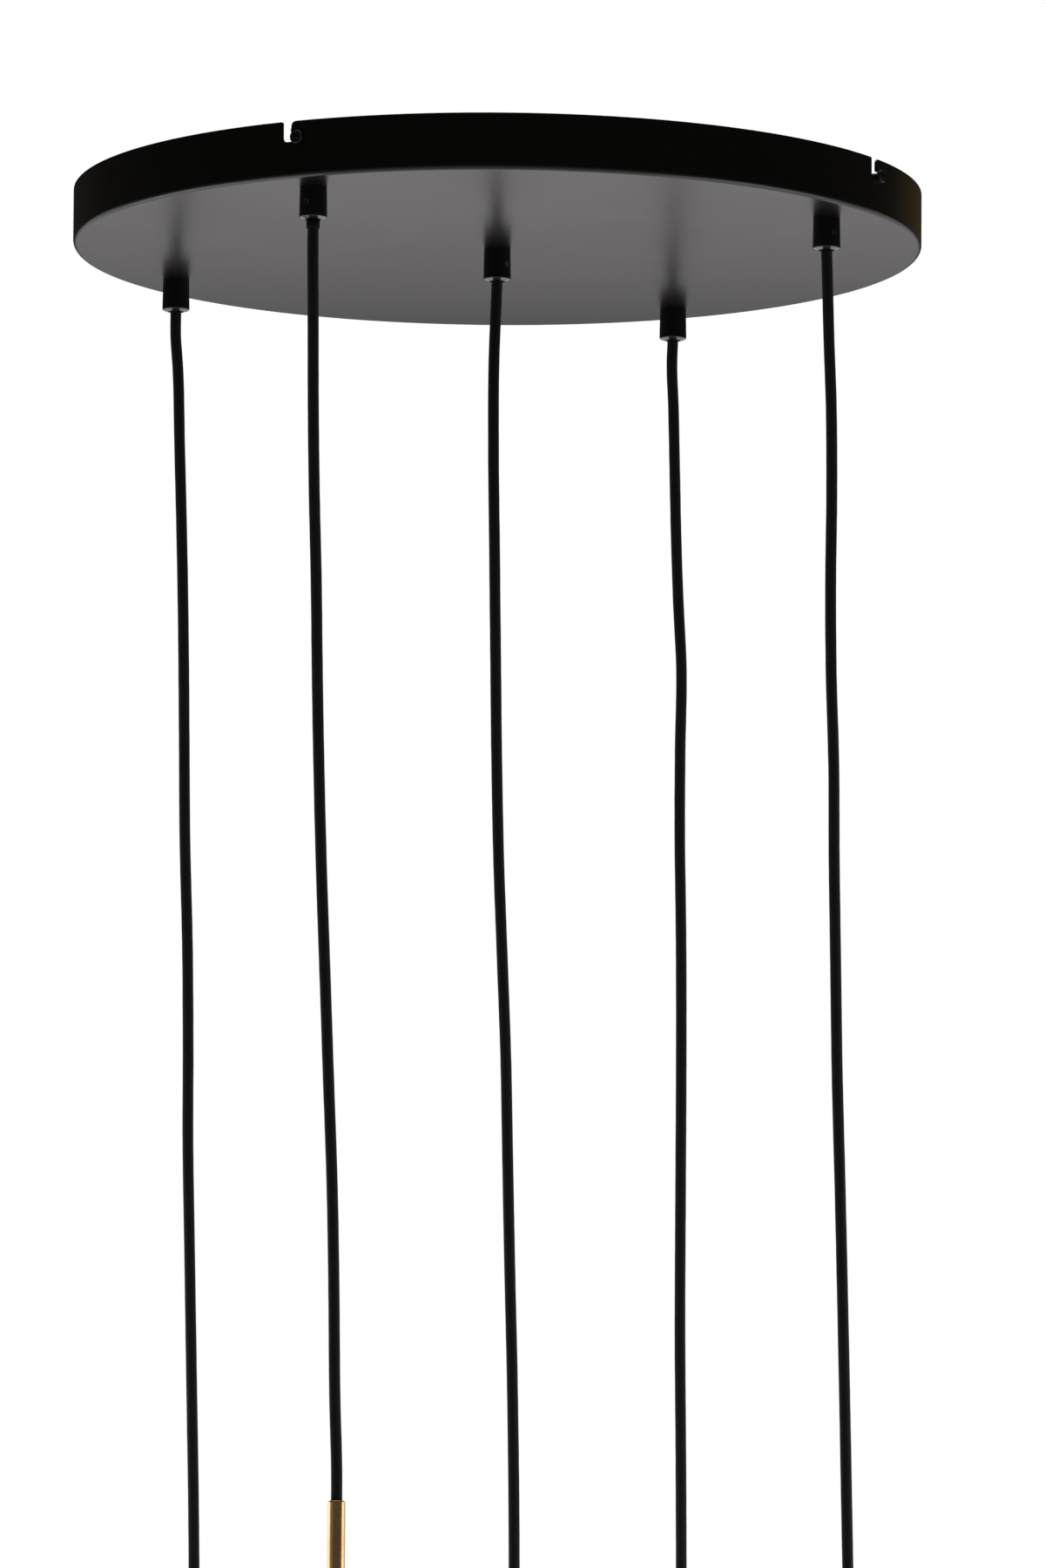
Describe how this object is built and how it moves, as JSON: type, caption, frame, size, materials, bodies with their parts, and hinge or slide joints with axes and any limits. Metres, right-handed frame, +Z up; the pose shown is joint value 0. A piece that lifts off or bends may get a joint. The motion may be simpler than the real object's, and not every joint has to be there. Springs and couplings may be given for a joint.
{
  "type": "pendant light",
  "caption": "Round black pan canopy on a ceiling bracket, with braided cords hanging from grips to brass stems, lampholders and globe lamps.",
  "frame": {"origin": "centre of the ceiling bracket, on the ceiling plane", "axes": "+Z up to the ceiling, +X along the upper bar of the bracket; the lamp hangs towards -Z"},
  "size_m": [0.5251, 0.5157, 1.209],
  "materials": {
    "zinc_steel": "zinc-plated steel, dull bright with a soft grain",
    "canopy_paint": "black satin powder coat on pressed steel",
    "grip_black": "black satin lacquer on turned metal",
    "ivory_plastic": "moulded ivory plastic",
    "earth_cover": "green wire cover with yellow stripes",
    "black_braid": "black braided textile cover over a round cord",
    "satin_brass": "satin polished brass, lacquered",
    "shell_brass": "plain pressed brass",
    "socket_black": "black moulded heat-proof plastic",
    "opal_glass": "opal white glass, smooth",
    "cap_nickel": "nickel-plated cap"
  },
  "bodies": {
    "bracket": {"ceiling_bar": "zinc_steel", "cross_bar": "zinc_steel", "bar_rivets": "zinc_steel", "canopy_screws": "canopy_paint"},
    "canopy": {"canopy_pan": "canopy_paint", "grip_nuts": "zinc_steel", "grip_washers": "zinc_steel", "grip_screws": "grip_black", "junction_box": "ivory_plastic", "junction_lid": "ivory_plastic", "lid_screws": "zinc_steel", "terminal_strip": "ivory_plastic", "earth_stud": "zinc_steel", "earth_wire": "earth_cover", "cord_grip_1": "grip_black", "cord_grip_2": "grip_black", "cord_grip_3": "grip_black", "cord_grip_4": "grip_black", "cord_grip_5": "grip_black", "lead_1": "black_braid", "lead_2": "black_braid", "lead_3": "black_braid", "lead_4": "black_braid", "lead_5": "black_braid"},
    "drop_1": {"cord_1": "black_braid"},
    "holder_1": {"stem_tube_1": "satin_brass", "holder_cup_1": "satin_brass", "lamp_socket_1": "socket_black", "screw_shell_1": "shell_brass"},
    "lamp_1": {"bulb_glass_1": "opal_glass", "bulb_cap_1": "cap_nickel"},
    "drop_2": {"cord_2": "black_braid"},
    "holder_2": {"stem_tube_2": "satin_brass", "holder_cup_2": "satin_brass", "lamp_socket_2": "socket_black", "screw_shell_2": "shell_brass"},
    "lamp_2": {"bulb_glass_2": "opal_glass", "bulb_cap_2": "cap_nickel"},
    "drop_3": {"cord_3": "black_braid"},
    "holder_3": {"stem_tube_3": "satin_brass", "holder_cup_3": "satin_brass", "lamp_socket_3": "socket_black", "screw_shell_3": "shell_brass"},
    "lamp_3": {"bulb_glass_3": "opal_glass", "bulb_cap_3": "cap_nickel"},
    "drop_4": {"cord_4": "black_braid"},
    "holder_4": {"stem_tube_4": "satin_brass", "holder_cup_4": "satin_brass", "lamp_socket_4": "socket_black", "screw_shell_4": "shell_brass"},
    "lamp_4": {"bulb_glass_4": "opal_glass", "bulb_cap_4": "cap_nickel"},
    "drop_5": {"cord_5": "black_braid"},
    "holder_5": {"stem_tube_5": "satin_brass", "holder_cup_5": "satin_brass", "lamp_socket_5": "socket_black", "screw_shell_5": "shell_brass"},
    "lamp_5": {"bulb_glass_5": "opal_glass", "bulb_cap_5": "cap_nickel"}
  },
  "joints": [
    {"name": "canopy_twist", "type": "hinge", "parent": "bracket", "child": "canopy", "pos_m": [0, 0, 0], "axis": [0, 0, 1], "range_deg": [0, 1.6]},
    {"name": "swing_1", "type": "hinge", "parent": "canopy", "child": "drop_1", "pos_m": [-0.21891, 0.00611, -0.053], "axis": [0.8878, 0.4602, 0], "range_deg": [-8, 8]},
    {"name": "raise_1", "type": "slide", "parent": "drop_1", "child": "holder_1", "axis": [0, 0, 1], "range_m": [0, 0.4], "deforming": ["cord_1"]},
    {"name": "bulb_turn_1", "type": "hinge", "parent": "holder_1", "child": "lamp_1", "pos_m": [-0.20249, 0.01463, -0.9], "axis": [0, 0, 1], "range_deg": [-360, 0]},
    {"name": "swing_2", "type": "hinge", "parent": "canopy", "child": "drop_2", "pos_m": [-0.00611, -0.21891, -0.053], "axis": [0.8878, 0.4602, 0], "range_deg": [-8, 8]},
    {"name": "raise_2", "type": "slide", "parent": "drop_2", "child": "holder_2", "axis": [0, 0, 1], "range_m": [0, 0.4], "deforming": ["cord_2"]},
    {"name": "bulb_turn_2", "type": "hinge", "parent": "holder_2", "child": "lamp_2", "pos_m": [0.0112, -0.20994, -0.793], "axis": [0, 0, 1], "range_deg": [-360, 0]},
    {"name": "swing_3", "type": "hinge", "parent": "canopy", "child": "drop_3", "pos_m": [0, 0, -0.053], "axis": [0.8878, 0.4602, 0], "range_deg": [-8, 8]},
    {"name": "raise_3", "type": "slide", "parent": "drop_3", "child": "holder_3", "axis": [0, 0, 1], "range_m": [0, 0.4], "deforming": ["cord_3"]},
    {"name": "bulb_turn_3", "type": "hinge", "parent": "holder_3", "child": "lamp_3", "pos_m": [0.01332, 0.0069, -0.952], "axis": [0, 0, 1], "range_deg": [-360, 0]},
    {"name": "swing_4", "type": "hinge", "parent": "canopy", "child": "drop_4", "pos_m": [0.00611, 0.21891, -0.053], "axis": [0.8878, 0.4602, 0], "range_deg": [-8, 8]},
    {"name": "raise_4", "type": "slide", "parent": "drop_4", "child": "holder_4", "axis": [0, 0, 1], "range_m": [0, 0.4], "deforming": ["cord_4"]},
    {"name": "bulb_turn_4", "type": "hinge", "parent": "holder_4", "child": "lamp_4", "pos_m": [0.01366, 0.22283, -0.86], "axis": [0, 0, 1], "range_deg": [-360, 0]},
    {"name": "swing_5", "type": "hinge", "parent": "canopy", "child": "drop_5", "pos_m": [0.21891, -0.00611, -0.053], "axis": [0.8878, 0.4602, 0], "range_deg": [-8, 8]},
    {"name": "raise_5", "type": "slide", "parent": "drop_5", "child": "holder_5", "axis": [0, 0, 1], "range_m": [0, 0.4], "deforming": ["cord_5"]},
    {"name": "bulb_turn_5", "type": "hinge", "parent": "holder_5", "child": "lamp_5", "pos_m": [0.23223, 0.00079, -0.93], "axis": [0, 0, 1], "range_deg": [-360, 0]}
  ]
}
